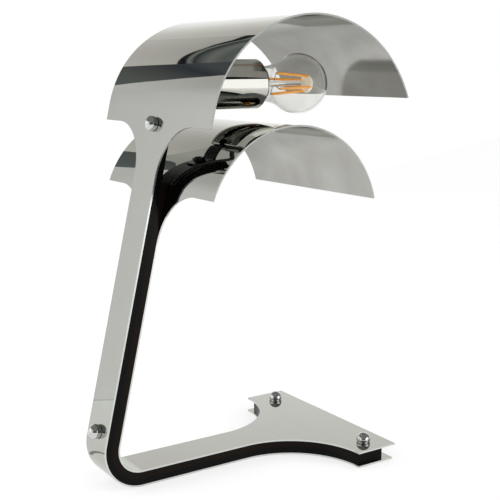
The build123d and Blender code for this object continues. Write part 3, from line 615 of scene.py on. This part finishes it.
# The eye sees white. The metal sees a white room that greys towards its ceiling, with a faint shadow at the left.
roomLook = {"ambient": 1.0, "wallGlow": 1.17,
            "heightStops": [(0.0, "#FFFFFF"), (0.30, "#FFFFFF"), (0.47, "#DAD6D2"), (0.62, "#9A9A98"),
                            (1.0, "#6A6E70")],
            "sideStops": [(0.0, "#F2F2F2"), (0.25, "#F2F2F2"), (0.29, "#E7E7E7"), (0.32, "#DDDDDD"),
                          (0.35, "#E3E3E3"), (0.37, "#F2F2F2"), (0.55, "#F6F6F6"), (0.75, "#FFFFFF")]}
world = bpy.data.worlds.new("whiteStudio")
world.use_nodes = True
bpy.context.scene.world = world
sky = world.node_tree
sky.nodes.clear()
shownSky, mirroredSky = shownRays(sky)
skyWay = addNode(sky, "ShaderNodeTexCoord").outputs["Generated"]
skyAxes = addNode(sky, "ShaderNodeSeparateXYZ", None, {"Vector": skyWay})
wall = addNode(sky, "ShaderNodeValToRGB", None, {"Fac": skyAxes.outputs["Z"]}, roomLook["heightStops"])
leftToRight = addNode(sky, "ShaderNodeMapRange", None,
                      {"Value": skyAxes.outputs["X"], "From Min": -1.0, "From Max": 1.0})
sideTone = addNode(sky, "ShaderNodeValToRGB", None, {"Fac": leftToRight.outputs["Result"]},
                   roomLook["sideStops"])
room = addNode(sky, "ShaderNodeVectorMath", {"operation": "MULTIPLY"},
               {0: wall.outputs["Color"], 1: sideTone.outputs["Color"]})
bright = addNode(sky, "ShaderNodeVectorMath", {"operation": "SCALE"},
                 {0: room.outputs["Vector"], "Scale": roomLook["wallGlow"]})
seen = addNode(sky, "ShaderNodeMix", {"data_type": "RGBA"},
               {"Factor": mirroredSky, "A": white, "B": bright.outputs["Vector"]})
seenSky = addNode(sky, "ShaderNodeBackground", None, {"Color": seen.outputs["Result"], "Strength": 1.0})
ambientSky = addNode(sky, "ShaderNodeBackground", None, {"Color": white, "Strength": roomLook["ambient"]})
skyMix = addNode(sky, "ShaderNodeMixShader", None,
                 {0: shownSky, 1: ambientSky.outputs[0], 2: seenSky.outputs[0]})
addNode(sky, "ShaderNodeOutputWorld", None, {"Surface": skyMix.outputs[0]})

# White table top: the eye and the metal see it lit through, and the lamp's shadow stays on it.
# The metal sees it grey with the distance along its way, in metres. Its far edge bends behind the lamp.
table = {"glow": 0.66, "shadowTone": "#9A9A9A", "bounceTone": "#D8D8D6", "way": (0.5, 0.85, 0.0),
         "farStops": [(0.0, "#FFFFFF"), (0.3, "#FFFFFF"), (0.36, "#D6D6D6"), (0.52, "#C8C8C8"),
                      (0.62, "#B2B2B2"), (0.68, "#BCBCBC"), (0.82, "#E0E0E0")],
         "nearEdge": [(-3.0, -3.0), (3.0, -3.0)],
         "farEdge": [(3.0, 2.44), (0.0, 0.716), (-0.32, 0.42), (-0.42, 0.518), (-3.0, 3.0)]}
tableMaterial, tableTree = emptyMaterial("whiteTableTop")
shownTable, mirroredTable = shownRays(tableTree)
tableSpot = addNode(tableTree, "ShaderNodeNewGeometry").outputs["Position"]
distance = addNode(tableTree, "ShaderNodeVectorMath", {"operation": "DOT_PRODUCT"},
                   {0: tableSpot, 1: table["way"]})
falloff = addNode(tableTree, "ShaderNodeValToRGB", None, {"Fac": distance.outputs["Value"]}, table["farStops"])
glowTone = addNode(tableTree, "ShaderNodeMix", {"data_type": "RGBA"},
                   {"Factor": mirroredTable, "A": white, "B": falloff.outputs["Color"]})
litThrough = addNode(tableTree, "ShaderNodeEmission", None,
                     {"Color": glowTone.outputs["Result"], "Strength": table["glow"]})
shadow = addNode(tableTree, "ShaderNodeBsdfDiffuse", None, {"Color": hexColour(table["shadowTone"])})
bounce = addNode(tableTree, "ShaderNodeBsdfDiffuse", None, {"Color": hexColour(table["bounceTone"])})
seenTable = addNode(tableTree, "ShaderNodeAddShader", None, {0: litThrough.outputs[0], 1: shadow.outputs[0]})
tableMix = addNode(tableTree, "ShaderNodeMixShader", None,
                   {0: shownTable, 1: bounce.outputs[0], 2: seenTable.outputs[0]})
addNode(tableTree, "ShaderNodeOutputMaterial", None, {"Surface": tableMix.outputs[0]})
flatCard("table_top", [(x, y, 0.0) for x, y in table["nearEdge"] + table["farEdge"]], tableMaterial)


# A flag's tone changes across it: stops run from its edge point along its way, over its reach in metres.
def flagMaterial(name, look):
    material, tree = emptyMaterial(name)
    place = addNode(tree, "ShaderNodeNewGeometry").outputs["Position"]
    fromEdge = addNode(tree, "ShaderNodeVectorMath", {"operation": "SUBTRACT"}, {0: place, 1: look["edge"]})
    depth = addNode(tree, "ShaderNodeVectorMath", {"operation": "DOT_PRODUCT"},
                    {0: fromEdge.outputs["Vector"], 1: [v/look["reach"] for v in look["way"]]})
    tone = addNode(tree, "ShaderNodeValToRGB", None, {"Fac": depth.outputs["Value"]}, look["stops"])
    glow = addNode(tree, "ShaderNodeEmission", None, {"Color": tone.outputs["Color"], "Strength": 1.0})
    addNode(tree, "ShaderNodeOutputMaterial", None, {"Surface": glow.outputs[0]})
    return material


def hideFromAllButMetal(card):
    card.visible_camera = False
    card.visible_diffuse = False
    card.visible_transmission = False
    card.visible_shadow = False


# Flags that only the metal sees, in metres: grey boards round the lamp, a thin line at the table's far edge and a
# painted shadow on the table by the heel.
flags = {
    "ceiling_flag": {
        "corners": [(-2.2, -2.2, 1.6), (2.2, -2.2, 1.6), (2.2, 1.7, 1.6), (0.474, 2.032, 1.6),
                    (0.076, 2.145, 1.6), (-0.254, 2.32, 1.6), (-0.436, 2.419, 1.6), (-0.62, 2.3, 1.6),
                    (-0.62, 1.2, 1.6), (-2.2, 1.2, 1.6)],
        "edge": (-0.436, 2.419, 1.6), "way": (-0.391, -0.92, 0.0), "reach": 1.0,
        "stops": [(0.0, "#15181C"), (0.06, "#20242A"), (0.075, "#8E908C"), (0.095, "#80837F"),
                  (0.11, "#2A2E33"), (0.13, "#565B5C"), (0.2, "#878A86"), (0.28, "#6E7373"),
                  (0.4, "#83867F"), (1.0, "#83867F")]},
    "side_flag": {
        "corners": [(-0.607, 1.67, -0.4), (-0.315, 1.67, -0.4), (-0.315, 1.67, 1.6), (-0.607, 1.67, 1.6)],
        "edge": (-0.315, 1.67, 0.83), "way": (0.0, 0.0, 1.0), "reach": 0.45,
        "stops": [(0.0, "#6E7778"), (0.33, "#6A6C6A"), (0.6, "#575B5C"), (0.8, "#43464D"), (1.0, "#5A5E63")]},
    "camera_flag": {
        "corners": [(-1.28, -0.6, -0.1), (-0.05, -1.38, -0.1), (-0.05, -1.38, 1.6), (-1.28, -0.6, 1.6)],
        "edge": (-0.65, -1.0, 0.0), "way": (0.0, 0.0, 1.0), "reach": 1.6,
        "stops": [(0.0, "#5A5F63"), (0.2, "#474C50"), (0.36, "#585D61"), (0.45, "#8E9295"),
                  (1.0, "#7E8285")]},
    "right_flag": {
        "corners": [(-0.05, -1.38, 0.7), (1.5, -0.75, 0.7), (1.5, -0.75, 1.6), (-0.05, -1.38, 1.6)],
        "edge": (0.7, -1.0, 0.7), "way": (0.0, 0.0, 1.0), "reach": 0.9,
        "stops": [(0.0, "#15171A"), (0.35, "#1C1F22"), (0.5, "#565A5E"), (1.0, "#83878A")]},
    "front_flag": {
        "corners": [(1.0, -0.83, 0.02), (1.6, 0.5, 0.02), (1.6, 0.5, 1.6), (1.0, -0.83, 1.6)],
        "edge": (1.3, -0.2, 0.0), "way": (0.0, 0.0, 1.0), "reach": 1.6,
        "stops": [(0.0, "#9A9EA1"), (1.0, "#7A7F83")]},
    "far_line": {
        "corners": [(-0.3362, 0.434, 0.0005), (-0.3338, 0.4366, 0.0005), (-0.4108, 0.5108, 0.0005),
                    (-0.4132, 0.5082, 0.0005)],
        "edge": (-0.3362, 0.434, 0.0), "way": (0.69, 0.72, 0.0), "reach": 0.0036,
        "stops": [(0.0, "#F4F5F4"), (0.5, "#DDE0DD"), (1.0, "#F4F5F4")]},
    # painted shadow: a dark strip on the table by the heel, where the lamp's own shadow falls
    "heel_painted_shadow": {
        "corners": [(-0.1114, 0.0443, 0.0005), (-0.1086, 0.0497, 0.0005), (-0.1536, 0.0737, 0.0005),
                    (-0.1564, 0.0683, 0.0005)],
        "edge": (-0.1114, 0.0443, 0.0), "way": (0.4706, 0.882, 0.0), "reach": 0.006,
        "stops": [(0.0, "#F0F0F0"), (0.35, "#9CA19C"), (0.65, "#9CA19C"), (1.0, "#F0F0F0")]},
}
for name, look in flags.items():
    hideFromAllButMetal(flatCard(name, look["corners"], flagMaterial(name + "_tone", look)))

# Each soft box lights the room, and a white card in its place is what the metal mirrors, so that flats
# don't clip. A box stands along its way from a point above the middle of the base.
softBox = {"power": 9.0, "size": 0.7, "range": 1.2, "aimHeight": 0.28,
           "ways": {"left_box": (-0.91, 0.41, 0.13), "right_box": (0.56, -0.83, 0.05)},
           "faceGlow": {"left_box": 1.5, "right_box": 2.0}}
halfSize = softBox["size"]/2
for name, way in softBox["ways"].items():
    light = bpy.data.lights.new(name, "AREA")
    light.energy = softBox["power"]
    light.size = softBox["size"]
    box = bpy.data.objects.new(name, light)
    aim = (-Vector(way)).to_track_quat("-Z", "Y")
    box.location = Vector(way).normalized()*softBox["range"] + Vector((0.0, 0.0, softBox["aimHeight"]))
    box.rotation_euler = aim.to_euler()
    box.visible_glossy = False
    bpy.context.scene.collection.objects.link(box)
    corners = [box.location + aim @ Vector((x*halfSize, y*halfSize, 0.0))
               for x, y in ((-1, -1), (1, -1), (1, 1), (-1, 1))]
    faceMaterial, faceTree = emptyMaterial(name + "_face")
    face = addNode(faceTree, "ShaderNodeEmission", None,
                   {"Color": white, "Strength": softBox["faceGlow"][name]})
    addNode(faceTree, "ShaderNodeOutputMaterial", None, {"Surface": face.outputs[0]})
    hideFromAllButMetal(flatCard(name + "_face", corners, faceMaterial))

bpy.context.scene.view_settings.view_transform = "Standard"
print("studio and camera ready")
